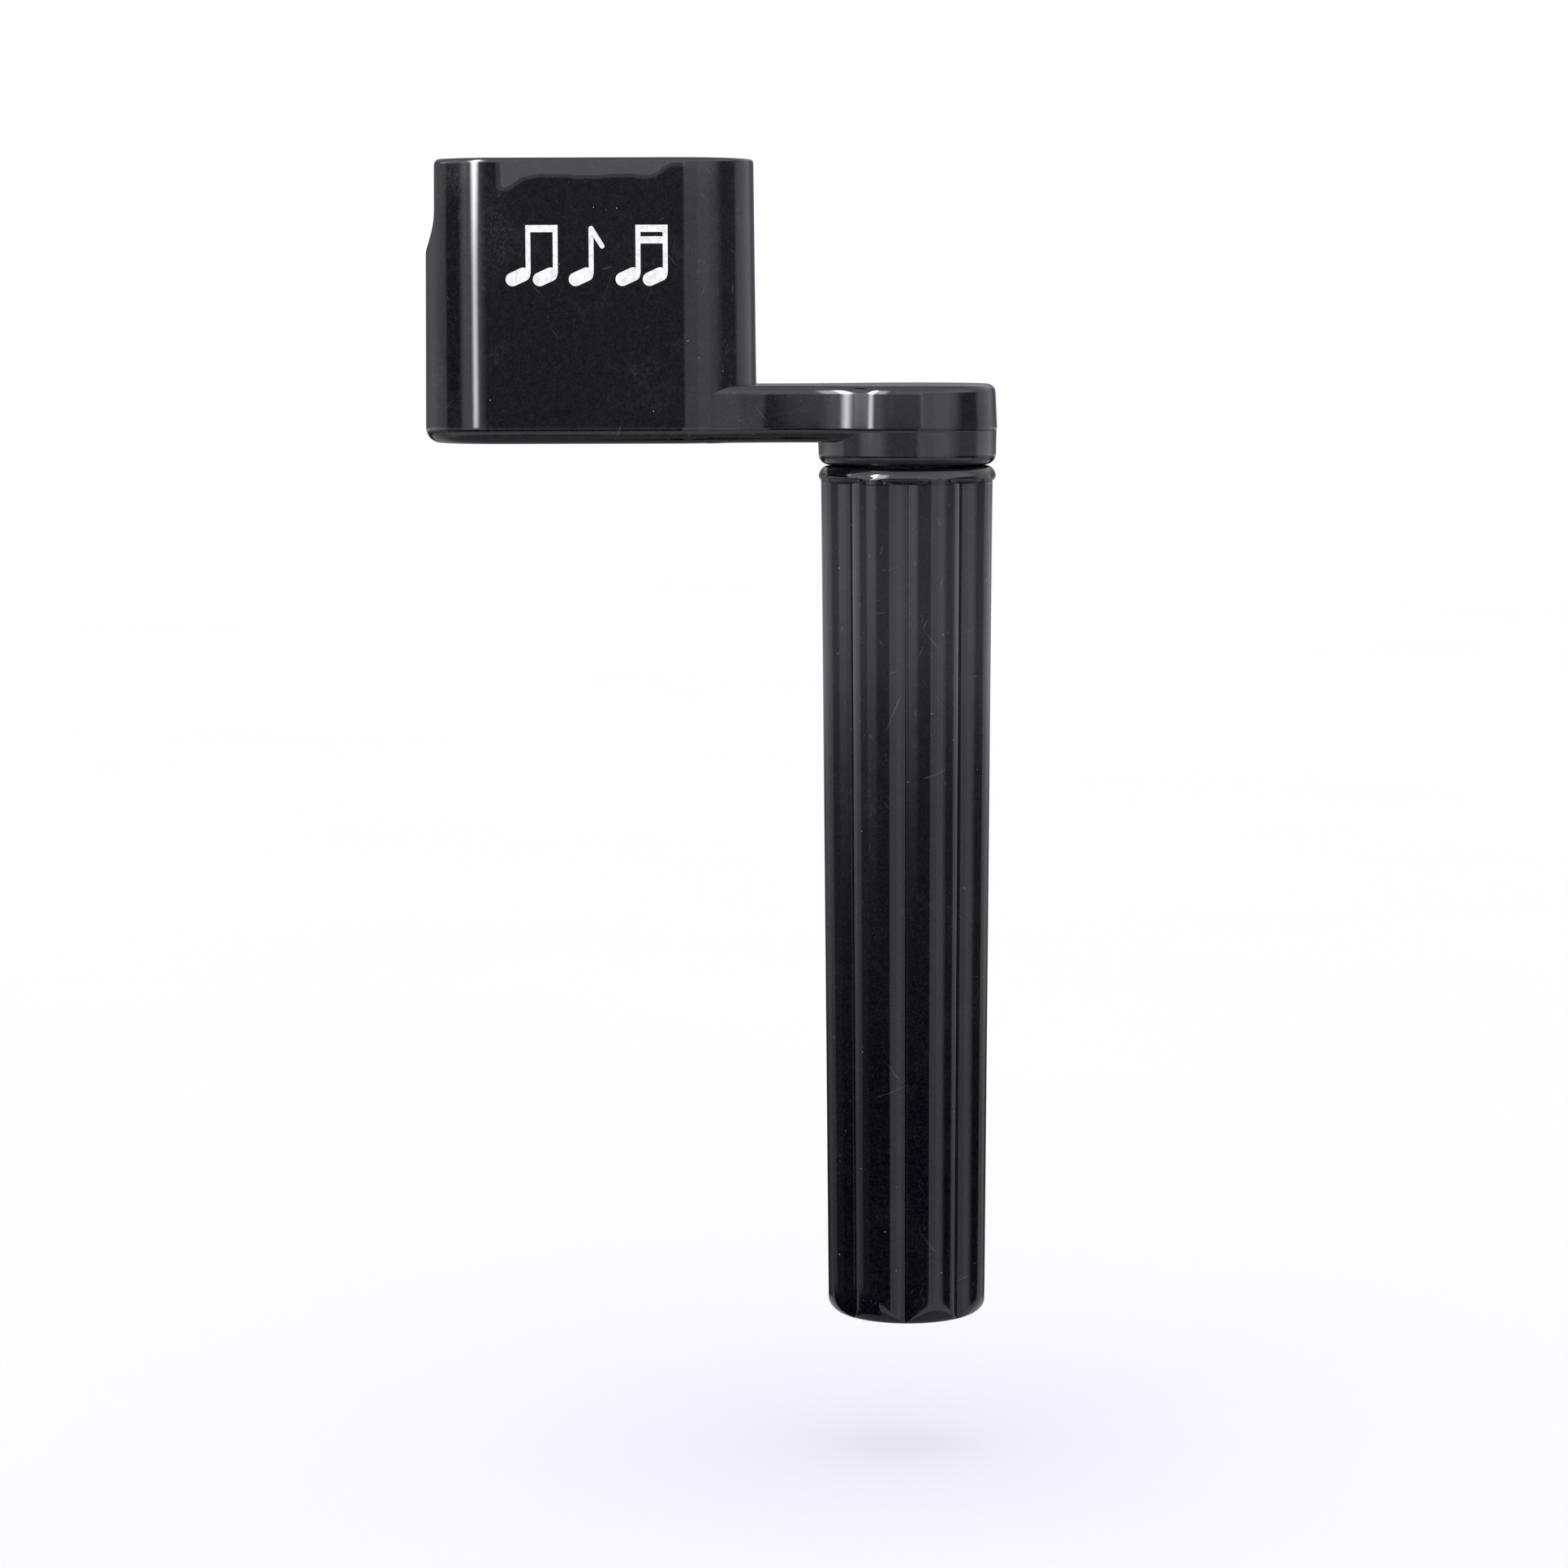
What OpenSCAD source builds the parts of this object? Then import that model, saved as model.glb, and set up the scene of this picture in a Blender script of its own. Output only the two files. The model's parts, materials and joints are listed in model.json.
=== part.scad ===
// String winder: an open-topped socket head on a cranked arm, whose hub turns
// freely on a fluted handle. The crank turns on a steel spindle pressed into the
// hub; two bushes inside the hollow grip carry the spindle, a screw and washer
// hold it there, and a flush plug closes the lower end.
// Frame: the handle's axis is Z, the plug's end face is z = 0 and the
// head lies on the -X side. All sizes are in millimetres.

/* [Socket head] */
// Outer depth of the head, front to back, and diameter of its round ends
head_depth = 17; // [15:0.1:19]
// Distance between the centres of the head's two round ends
head_span = 17.55; // [14:0.05:22]
// Height of the head, from the arm's underside to the rim
head_height = 29.4; // [24:0.1:36]
// Thickness of the head's walls
head_wall = 2; // [1.2:0.1:2.6]
// Thickness of the floor under the peg pocket
head_floor = 3; // [2:0.1:5]

/* [Bridge pin notch] */
// Width of the notch in the far end wall, and diameter of its round bottom
notch_width = 8; // [6:0.1:9]
// Depth of the notch below the rim
notch_depth = 9.3; // [7:0.1:14]

/* [Arm and hub] */
// Distance from the handle's axis to the head's nearer round end
arm_reach = 24.45; // [22:0.05:30]
// Thickness of the arm
arm_thickness = 6; // [4.5:0.1:8]
// Radius of the hollows on both sides of the arm
waist_radius = 16.2; // [13:0.1:20]
// Radius of the hub
hub_radius = 9.45; // [8.8:0.05:10]
// How far the hub's boss stands below the arm
hub_boss = 2.45; // [1.6:0.05:4]
// Radius of the edge under the hub
hub_foot_round = 1.1; // [0.4:0.1:1.4]

/* [Grip] */
// Height of the grip's top face above the end of the plug
grip_top = 90.5; // [70:0.1:110]
// Number of rounded lobes round the grip
lobe_count = 8; // [6:1:10]
// Radius of each lobe at the top of the grip
lobe_radius_top = 3.71; // [3.4:0.01:4]
// Distance of each lobe's centre from the axis at the top of the grip
lobe_offset_top = 5.72; // [5.4:0.01:5.9]
// Size of the lobes at the lower end as a share of their size at the top
grip_taper = 0.925; // [0.88:0.005:1]
// Radius of the half-round bead under the grip's top face
bead_radius = 0.8; // [0.4:0.05:1]
// Radius of the round corner at the grip's lower end
corner_radius = 1.8; // [0.8:0.05:2.4]
// Radius of the bore through the grip
grip_bore = 5.6; // [5:0.05:6]

/* [Spindle and fittings] */
// Radius of the steel spindle
spindle_radius = 2.5; // [1.9:0.05:3]
// Radial running clearance between the spindle and its bushes
running_clearance = 0.05; // [0.02:0.01:0.1]
// Depth of the spindle in the hub
press_depth = 6.4; // [4:0.1:7.5]
// Radial gap round the bushes and the plug, where they are glued into the grip
glue_gap = 0.02; // [0.01:0.01:0.1]
// Length of each bush
bush_length = 10; // [6:0.5:14]
// Nominal radius of the retaining screw
screw_radius = 1.5; // [1:0.1:1.6]

/* [End plug] */
// Length of the plug inside the grip
plug_length = 7; // [4:0.5:10]
// Thickness of the plug's end and of its wall
plug_wall = 1.6; // [1.2:0.1:2.4]
// Chamfer round the plug's outer end
plug_chamfer = 0.25; // [0.1:0.05:0.6]

/* [Printed mark] */
// Height of the notes printed on the front of the head
mark_height = 5.6; // [4:0.1:5.7]
// Depth of the notes' feet below the rim
mark_drop = 12.2; // [10:0.1:20]
// Thickness of the ink
ink_thickness = 0.06; // [0.04:0.01:0.15]

/* [Hidden] */
$fn = 96;
eps = 0.05;

// Head and arm levels
hub_gap = 0.15;
hub_foot = grip_top + hub_gap;
arm_foot = hub_foot + hub_boss;
arm_top = arm_foot + arm_thickness;
rim_top = arm_foot + head_height;
end_radius = head_depth / 2;
near_x = -arm_reach;
far_x = -arm_reach - head_span;

// The hollows beside the arm touch the head's near round end and the hub
waist_x = ((end_radius + waist_radius)^2 - (hub_radius + waist_radius)^2 - arm_reach^2)
          / (2 * arm_reach);
waist_y = sqrt((hub_radius + waist_radius)^2 - waist_x^2);
touch_head = [near_x + (waist_x - near_x) * end_radius / (end_radius + waist_radius),
              waist_y * end_radius / (end_radius + waist_radius)];
touch_hub = [waist_x, waist_y] * hub_radius / (hub_radius + waist_radius);

// Spindle stack, from the hub downwards
washer_gap = 0.05;
thrust_thickness = 0.4;
thrust_top = hub_foot - washer_gap;
upper_bush_top = thrust_top - thrust_thickness - washer_gap;
spindle_top = hub_foot + press_depth;
lower_bush_foot = 18;
end_play = 0.1;
spindle_foot = lower_bush_foot - end_play;
retainer_thickness = 1;
retainer_foot = spindle_foot - retainer_thickness;
screw_head_height = 1.9;
screw_head_radius = 2.8;
screw_length = 8;
screw_clearance = 0.04;

// Grip
bead_centre = grip_top - bead_radius;
bead_reach = lobe_offset_top + lobe_radius_top - 0.1;
grip_turn = -1.6;

// Notes of the printed mark, as shares of their height
note_beam = 0.88;
note_stem = 0.19;
note_reach = 0.225;
stem_width = 0.09;
flag_reach = 0.2;
note_gap = 0.2;
pair_step = 0.5;
single_step = pair_step + note_stem + stem_width / 2 + note_gap + note_reach;
last_step = single_step + note_stem + flag_reach + stem_width / 2 + note_gap + note_reach;

// Revolves a profile drawn with x as the radius and y as the height
module revolve() {
    rotate_extrude($fn = 96) children();
}

// Ring or tube between two heights
module tube(outer, inner, foot, top) {
    translate([0, 0, foot]) difference() {
        cylinder(r = outer, h = top - foot);
        translate([0, 0, -1]) cylinder(r = inner, h = top - foot + 2);
    }
}

// Upright prism with round ends, between the head's two end centres
module head_prism(radius, foot, top) {
    translate([0, 0, foot]) linear_extrude(top - foot) {
        translate([far_x, 0]) circle(r = radius);
        translate([near_x, 0]) circle(r = radius);
        translate([far_x, -radius]) square([head_span, 2 * radius]);
    }
}

// Plan of the arm: a plank between head and hub with a round hollow on each side
module arm_plan() {
    difference() {
        polygon([[near_x, touch_head.y], [touch_head.x, touch_head.y + eps],
                 [touch_hub.x, touch_hub.y + eps], [0, touch_hub.y],
                 [0, -touch_hub.y], [touch_hub.x, -touch_hub.y - eps],
                 [touch_head.x, -touch_head.y - eps], [near_x, -touch_head.y]]);
        for (side = [-1, 1])
            translate([waist_x, side * waist_y]) circle(r = waist_radius, $fn = 180);
    }
}

// Hub with the rounded edge under its boss
module hub() {
    revolve() {
        translate([0, hub_foot]) square([hub_radius - hub_foot_round, hub_foot_round + eps]);
        translate([0, hub_foot + hub_foot_round])
            square([hub_radius, arm_top - hub_foot - hub_foot_round]);
        translate([hub_radius - hub_foot_round, hub_foot + hub_foot_round]) intersection() {
            circle(r = hub_foot_round);
            translate([0, -hub_foot_round]) square(hub_foot_round);
        }
    }
}

// Slot with a round bottom, through the far end wall and open at the rim
module pin_notch() {
    notch_radius = notch_width / 2;
    notch_run = end_radius + 2;
    translate([far_x - notch_run, 0, rim_top - notch_depth + notch_radius]) {
        rotate([0, 90, 0]) cylinder(r = notch_radius, h = notch_run);
        translate([0, -notch_radius, 0]) cube([notch_run, notch_width, notch_depth]);
    }
}

// One moulding: the socket head, the arm and the hub
module crank_body() {
    color([0.03, 0.03, 0.035]) difference() {
        union() {
            head_prism(end_radius, arm_foot, rim_top);
            translate([0, 0, arm_foot]) linear_extrude(arm_thickness) arm_plan();
            hub();
        }
        head_prism(end_radius - head_wall, arm_foot + head_floor, rim_top + 1);
        pin_notch();
        translate([0, 0, hub_foot - 1]) cylinder(r = spindle_radius, h = press_depth + 1);
    }
}

// Steel pin pressed into the hub, tapped at its lower end
module spindle() {
    tap_depth = screw_length + 2;
    color("silver") difference() {
        translate([0, 0, spindle_foot])
            cylinder(r = spindle_radius, h = spindle_top - spindle_foot);
        translate([0, 0, spindle_foot - 1]) cylinder(r = screw_radius, h = tap_depth + 1);
    }
}

// Slippery ring that keeps the turning hub off the grip
module thrust_washer() {
    color("white") tube(grip_bore - 0.2, spindle_radius + 0.1,
                        thrust_top - thrust_thickness, thrust_top);
}

// One lobe of the grip: a slender cone that leans in with the taper
module grip_lobe() {
    lobe_height = grip_top - bead_radius;
    lean = atan(lobe_offset_top * (1 - grip_taper) / lobe_height);
    rotate([0, lean, 0]) translate([0, 0, -1])
        cylinder(r1 = lobe_radius_top * (grip_taper - (1 - grip_taper) / lobe_height),
                 r2 = lobe_radius_top, h = lobe_height + 1);
}

// Revolved envelope that rounds off the lobes at the grip's flat lower end
module grip_envelope() {
    foot_reach = (lobe_offset_top + lobe_radius_top) * grip_taper + eps;
    revolve() {
        square([foot_reach - corner_radius, corner_radius + eps]);
        translate([0, corner_radius]) square([foot_reach + 2, bead_centre - corner_radius]);
        translate([foot_reach - corner_radius, corner_radius]) intersection() {
            circle(r = corner_radius);
            translate([0, -corner_radius]) square(corner_radius);
        }
    }
}

// Hollow fluted handle with a bead round its top
module grip() {
    core_radius = lobe_offset_top + 1;
    color([0.03, 0.03, 0.035]) rotate([0, 0, grip_turn]) difference() {
        union() {
            intersection() {
                union() {
                    for (lobe = [0.5 : lobe_count])
                        rotate([0, 0, lobe * 360 / lobe_count])
                            translate([lobe_offset_top * grip_taper, 0, 0]) grip_lobe();
                    cylinder(r1 = core_radius * grip_taper, r2 = core_radius, h = bead_centre);
                }
                grip_envelope();
            }
            revolve() {
                translate([0, bead_centre - bead_radius])
                    square([bead_reach - bead_radius, 2 * bead_radius]);
                translate([bead_reach - bead_radius, bead_centre]) circle(r = bead_radius);
            }
        }
        translate([0, 0, -1]) cylinder(r = grip_bore, h = grip_top + 2);
    }
}

// Bearing bush glued into the grip's bore, up to a given height
module bush(top) {
    tube(grip_bore - glue_gap, spindle_radius + running_clearance, top - bush_length, top);
}

module upper_bush() {
    color("ivory") bush(upper_bush_top);
}

module lower_bush() {
    color("ivory") bush(lower_bush_foot + bush_length);
}

// Washer that keeps the spindle from pulling out of the lower bush
module retaining_washer() {
    color("silver") tube(grip_bore - 0.8, screw_radius + 0.15, retainer_foot, spindle_foot);
}

// Pan-head screw with a cross recess
module retaining_screw() {
    shank_radius = screw_radius - screw_clearance;
    recess_depth = 1.1;
    color("silver") difference() {
        union() {
            translate([0, 0, retainer_foot])
                cylinder(r = shank_radius, h = screw_length);
            translate([0, 0, retainer_foot - screw_head_height])
                cylinder(r = screw_head_radius, h = screw_head_height);
        }
        for (turn = [0, 90])
            rotate([0, 0, turn])
                translate([-1.5, -0.35, retainer_foot - screw_head_height - 1])
                    cube([3, 0.7, recess_depth + 1]);
    }
}

// Flush plug that closes the lower end of the grip, hollow behind its end
module end_plug() {
    plug_radius = grip_bore - glue_gap;
    color([0.03, 0.03, 0.035]) difference() {
        union() {
            cylinder(r1 = plug_radius - plug_chamfer, r2 = plug_radius, h = plug_chamfer);
            translate([0, 0, plug_chamfer])
                cylinder(r = plug_radius, h = plug_length - plug_chamfer);
        }
        translate([0, 0, plug_wall]) cylinder(r = plug_radius - plug_wall, h = plug_length);
    }
}

// Straight stroke with round ends between two points of a drawing
module stroke(from, to, width) {
    run = to - from;
    translate(from) rotate(atan2(run.y, run.x)) {
        translate([0, -width / 2]) square([norm(run), width]);
        circle(d = width);
        translate([norm(run), 0]) circle(d = width);
    }
}

// Musical note of height 1 at the origin: a slanting oval head and a stem
module note() {
    slant = [0.1, 0.045];
    stroke(-slant, slant, 0.25);
    stroke([note_stem, 0.07], [note_stem, note_beam], stem_width);
}

// Two notes joined by one beam or more
module beamed_pair(beams) {
    note();
    translate([pair_step, 0]) note();
    for (beam = [0 : beams - 1]) {
        level = note_beam - beam * 0.21;
        translate([note_stem - stem_width / 2, level - 0.065]) square([pair_step + stem_width, 0.13]);
    }
}

// Row of notes: a beamed pair, a single note with its flag and another pair
module mark_plan() {
    beamed_pair(1);
    translate([single_step, 0]) {
        note();
        stroke([note_stem, note_beam], [note_stem + flag_reach, note_beam - 0.32], stem_width);
    }
    translate([last_step, 0]) beamed_pair(2);
}

// Pad-printed ink on the flat front of the head
module printed_mark() {
    head_middle = (near_x + far_x) / 2;
    mark_start = -note_reach;
    mark_end = last_step + pair_step + note_stem + stem_width / 2;
    mark_centre = (mark_start + mark_end) / 2 * mark_height;
    color("white")
        translate([head_middle - mark_centre, -end_radius, rim_top - mark_drop])
            rotate([90, 0, 0]) linear_extrude(ink_thickness) scale(mark_height) mark_plan();
}

crank_body();
spindle();
thrust_washer();
grip();
upper_bush();
lower_bush();
retaining_washer();
retaining_screw();
end_plug();
printed_mark();
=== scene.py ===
"""Guitar string winder: a glossy black crank with a peg socket that spins on a fluted handle."""

import json
import math

import bmesh
import bpy
import numpy as np
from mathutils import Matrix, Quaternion, Vector


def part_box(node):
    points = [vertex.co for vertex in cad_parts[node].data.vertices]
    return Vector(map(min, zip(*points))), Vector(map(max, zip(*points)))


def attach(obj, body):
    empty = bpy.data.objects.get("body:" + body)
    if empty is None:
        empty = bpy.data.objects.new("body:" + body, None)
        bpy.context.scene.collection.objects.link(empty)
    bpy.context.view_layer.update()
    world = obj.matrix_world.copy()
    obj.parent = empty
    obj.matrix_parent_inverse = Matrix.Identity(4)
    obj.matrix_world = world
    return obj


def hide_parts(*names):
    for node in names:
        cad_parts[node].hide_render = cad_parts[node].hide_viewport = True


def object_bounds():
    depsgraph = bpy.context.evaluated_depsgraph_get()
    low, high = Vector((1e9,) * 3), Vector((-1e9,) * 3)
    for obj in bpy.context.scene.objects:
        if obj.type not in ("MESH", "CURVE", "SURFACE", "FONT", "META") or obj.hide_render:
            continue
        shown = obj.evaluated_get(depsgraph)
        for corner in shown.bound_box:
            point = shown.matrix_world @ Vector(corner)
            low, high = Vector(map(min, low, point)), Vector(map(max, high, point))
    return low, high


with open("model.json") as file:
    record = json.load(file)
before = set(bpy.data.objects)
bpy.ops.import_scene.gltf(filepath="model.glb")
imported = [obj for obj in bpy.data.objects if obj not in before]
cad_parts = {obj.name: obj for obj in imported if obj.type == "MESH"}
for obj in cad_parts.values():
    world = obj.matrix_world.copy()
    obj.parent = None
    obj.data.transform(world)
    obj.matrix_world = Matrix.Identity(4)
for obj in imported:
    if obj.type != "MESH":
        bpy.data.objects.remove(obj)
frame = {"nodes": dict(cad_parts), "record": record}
cad_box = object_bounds()

MM = 0.001
QUARTER_TURN = math.pi / 2

# ---------------------------------------------------------------- sizes, from the frame
CRANK_LOW, CRANK_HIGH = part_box("crank_body")
_, GRIP_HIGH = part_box("grip")
_, PLUG_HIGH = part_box("end_plug")
_, INK_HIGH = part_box("printed_mark")
MOUNTS = {mount["name"]: Vector(mount["pos_m"]) for mount in frame["record"]["mounts"]}

HUB_RADIUS = CRANK_HIGH.x
HUB_FOOT = CRANK_LOW.z
RIM_TOP = CRANK_HIGH.z
END_RADIUS = -INK_HIGH.y
HEAD_MIDDLE = MOUNTS["peg_socket"].x
HALF_SPAN = HEAD_MIDDLE - CRANK_LOW.x - END_RADIUS
FAR_X = HEAD_MIDDLE - HALF_SPAN
NEAR_X = HEAD_MIDDLE + HALF_SPAN
NOTCH_CENTRE_Z = MOUNTS["pin_notch"].z

# ---------------------------------------------------------------- sizes of the mouldings
HUB_BOSS = 2.45 * MM
HUB_BORE = 2.5 * MM
ARM_THICKNESS = 6.0 * MM
WAIST_RADIUS = 15.4 * MM
WALL = 2.0 * MM
FLOOR_THICKNESS = 3.0 * MM
NOTCH_RADIUS = 4.0 * MM
ARM_FOOT = HUB_FOOT + HUB_BOSS
ARM_TOP = ARM_FOOT + ARM_THICKNESS
DRAFT = math.tan(math.radians(0.55))
HEAD_REFERENCE_Z = (ARM_FOOT + RIM_TOP) / 2
ARM_DRAFT = math.tan(math.radians(2.6))
BOSS_DRAFT = math.tan(math.radians(1.2))
FOOT_ROUND = 1.55 * MM
LIP_LEAN = math.tan(math.radians(2.3))
LOBES = 8
LOBE_PITCH = 2 * math.pi / LOBES
LOBE_RADIUS = 3.71 * MM
LOBE_OFFSET = 5.72 * MM
GRIP_TURN = math.radians(-3.1)
GRIP_TAPER = 0.925
BEAD_ROUND = 0.8 * MM
BEAD_ABOVE = 1.05 * MM
BEAD_BELOW = 0.6 * MM
BEAD_MIDDLE = GRIP_HIGH.z - BEAD_ABOVE
CORNER_WIDTH = 1.55 * MM
CORNER_HEIGHT = 2.7 * MM
FOOT_REACH = (LOBE_OFFSET + LOBE_RADIUS) * GRIP_TAPER + 0.02 * MM
# edges that turn more than this are shaded sharp
SHARP_ANGLE = math.radians(38)
# gap between the end of a round and a ring beside it, which keeps the flat's shading flat
SUPPORT = 0.05 * MM
# colour of the studio's light
LIGHT_TINT = (1.0, 0.99, 1.07, 1.0)


# ---------------------------------------------------------------- mesh helpers
def link_object(name, data):
    """A new object in the scene."""
    linked = bpy.data.objects.new(name, data)
    bpy.context.scene.collection.objects.link(linked)
    return linked


def mesh_object(name, verts, faces, body, replaced):
    """A smooth-shaded piece that rides on a body and stands for a CAD node."""
    mesh = bpy.data.meshes.new(name)
    mesh.from_pydata([tuple(v) for v in verts], [], faces)
    mesh.validate()
    bm = bmesh.new()
    bm.from_mesh(mesh)
    bmesh.ops.recalc_face_normals(bm, faces=bm.faces)
    bm.to_mesh(mesh)
    bm.free()
    mesh.shade_smooth()
    mesh.set_sharp_from_angle(angle=SHARP_ANGLE)
    piece = link_object(name, mesh)
    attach(piece, body)
    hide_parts(replaced)
    return piece


def loft(rings, closed=False):
    """Vertices and faces of a tube through rings of equal length. Its ends are capped, or joined."""
    count = len(rings[0])
    verts = [point for ring in rings for point in ring]
    faces = []
    last = len(rings) if closed else len(rings) - 1
    for row in range(last):
        low, high = row * count, (row + 1) % len(rings) * count
        for i in range(count):
            j = (i + 1) % count
            faces.append((low + i, low + j, high + j, high + i))
    if not closed:
        faces.append(tuple(reversed(range(count))))
        faces.append(tuple(range((len(rings) - 1) * count, len(rings) * count)))
    return verts, faces


def round_steps(count):
    """(sine, cosine) pairs along a quarter turn."""
    return [(math.sin(a), math.cos(a)) for a in np.linspace(0, QUARTER_TURN, count + 1)]


def smooth_step(low, high, value):
    """0 at low and 1 at high, with soft ends."""
    t = np.clip((value - low) / (high - low), 0, 1)
    return t * t * (3 - 2 * t)


# ---------------------------------------------------------------- socket head
def notch_path():
    """Half of the rim's path over the far end, from the side to the notch's bottom.

    Each point is (y, z, outward y, outward z).
    """
    corner = 0.7 * MM
    shoulder = NOTCH_RADIUS + corner
    points = []
    for t in np.linspace(0, 1, 26)[:-1]:
        angle = QUARTER_TURN + (math.asin(shoulder / END_RADIUS) - QUARTER_TURN) * t
        points.append((END_RADIUS * math.sin(angle), RIM_TOP, 0.0, 1.0))
    for s, c in round_steps(8)[:-1]:
        points.append((shoulder - corner * s, RIM_TOP - corner * (1 - c), -s, c))
    for z in np.linspace(RIM_TOP - corner, NOTCH_CENTRE_Z, 9)[:-1]:
        points.append((NOTCH_RADIUS, z, -1.0, 0.0))
    for s, c in round_steps(16):
        points.append((NOTCH_RADIUS * c, NOTCH_CENTRE_Z - NOTCH_RADIUS * s, -c, s))
    return points


class Column:
    """One line up the head's wall: centre of curvature, angle at the foot, and its end at the rim."""

    def __init__(self, centre, foot, rim=None, outward=(0.0, 1.0)):
        self.centre = centre
        self.foot = foot
        self.notch = rim is not None
        self.rim_y, self.rim_z = rim or (END_RADIUS * math.sin(foot), RIM_TOP)
        self.out_y, self.out_z = outward


def head_columns():
    """The head's columns, round its outline: front, near end, back, then the far end with its notch."""
    columns = [Column(x, -QUARTER_TURN) for x in np.linspace(FAR_X, NEAR_X, 49)[:-1]]
    columns += [Column(NEAR_X, angle) for angle in np.linspace(-QUARTER_TURN, QUARTER_TURN, 97)[:-1]]
    columns += [Column(x, QUARTER_TURN) for x in np.linspace(NEAR_X, FAR_X, 49)[:-1]]
    half = notch_path()
    step = QUARTER_TURN / (len(half) - 1)
    for i, (y, z, out_y, out_z) in enumerate(half):
        columns.append(Column(FAR_X, QUARTER_TURN + step * i, (y, z), (out_y, out_z)))
    for i, (y, z, out_y, out_z) in enumerate(reversed(half[1:-1])):
        columns.append(Column(FAR_X, math.pi + step * (i + 1), (-y, z), (-out_y, out_z)))
    return columns


def lip_depth(x, angle):
    """How far below the rim the front starts to lean in a little more. Polishing left it uneven."""
    left = 1.4 * MM * smooth_step(FAR_X + 3.0 * MM, FAR_X, x)
    right = 1.2 * MM * smooth_step(NEAR_X - 2.2 * MM, NEAR_X, x)
    wobble = 0.09 * MM * math.sin(x / MM * 0.9) + 0.04 * MM * math.sin(x / MM * 2.7)
    on_front = smooth_step(math.radians(50), math.radians(12), abs(angle + QUARTER_TURN))
    return (1.9 * MM + left - right + wobble) * on_front


def lip_inset(x, angle, z):
    """Extra inward lean under the rim, with a short soft start."""
    soft = 0.3 * MM
    above = z - (RIM_TOP - lip_depth(x, angle))
    if above <= -soft:
        return 0.0
    if above >= soft:
        return LIP_LEAN * above
    return LIP_LEAN * (above + soft) ** 2 / (4 * soft)


def notch_angle(column, rim_y, radius):
    """Angle that keeps the notch's walls parallel at any inset, and fades to equal angles beside it."""
    angle_out = math.asin(max(-1.0, min(1.0, rim_y / END_RADIUS)))
    limit = math.radians(38)
    held = max(-limit, min(limit, angle_out))
    fade = 1 - smooth_step(limit, QUARTER_TURN, abs(angle_out))
    inner = END_RADIUS * math.sin(held) / max(radius, END_RADIUS * math.sin(limit))
    return math.pi - (angle_out + (math.asin(inner) - held) * fade)


def column_point(column, share, pull_back, inset, foot_z, outside=True):
    """Point on the head's wall.

    share runs from the foot to the rim, pull_back moves off the rim, and inset goes inwards.
    """
    rim_y = column.rim_y - column.out_y * pull_back
    rim_z = column.rim_z - column.out_z * pull_back
    z = foot_z + (rim_z - foot_z) * share
    radius = END_RADIUS + DRAFT * (HEAD_REFERENCE_Z - z) - inset
    if outside:
        radius -= lip_inset(column.centre, column.foot, z)
    rim_angle = notch_angle(column, rim_y, radius) if column.notch else column.foot
    angle = column.foot + (rim_angle - column.foot) * share
    return column.centre + radius * math.cos(angle), radius * math.sin(angle), z


def make_head():
    """Socket head: underside, outer wall, rim, and the pocket with its round floor edge."""
    columns = head_columns()
    rim_round, inner_round, floor_round = 0.4 * MM, 0.3 * MM, 1.0 * MM
    wall_foot = ARM_FOOT + FOOT_ROUND
    pocket_foot = ARM_FOOT + FLOOR_THICKNESS
    rings = []

    def ring(share, pull_back, inset, foot_z, outside=True):
        rings.append([column_point(c, share, pull_back, inset, foot_z, outside) for c in columns])

    def pocket_ring(share, pull_back, inset, foot_z):
        ring(share, pull_back, inset, foot_z, outside=False)

    # underside and the round edge under the head
    ring(0, 0, FOOT_ROUND + 2.0 * MM, ARM_FOOT)
    ring(0, 0, FOOT_ROUND + 0.1 * MM, ARM_FOOT)
    for s, c in round_steps(8):
        ring(0, 0, FOOT_ROUND * (1 - s), ARM_FOOT + FOOT_ROUND * (1 - c))
    # outer wall, in short steps where the lip starts
    for share in (0.01, 0.12, 0.3, 0.5, 0.7, 0.8, *np.linspace(0.85, 0.995, 26)):
        ring(share, rim_round, 0, wall_foot)
    # rim
    for s, c in round_steps(5):
        ring(1, rim_round * (1 - s), rim_round * (1 - c), wall_foot)
    ring(1, 0, rim_round + SUPPORT, wall_foot)
    pocket_ring(1, 0, WALL - inner_round - SUPPORT, wall_foot)
    for s, c in round_steps(4):
        pocket_ring(1, inner_round * (1 - c), WALL - inner_round * (1 - s), wall_foot)
    # pocket
    for share in (0.98, 0.9, 0.7, 0.4, 0.1, 0.01):
        pocket_ring(share, inner_round, WALL, pocket_foot + floor_round)
    for s, c in round_steps(6):
        pocket_ring(0, 0, WALL + floor_round * (1 - c), pocket_foot + floor_round * (1 - s))
    pocket_ring(0, 0, WALL + floor_round + 0.1 * MM, pocket_foot)
    verts, faces = loft(rings)
    return mesh_object("socket_head", verts, faces, "crank", "crank_body")


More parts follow.
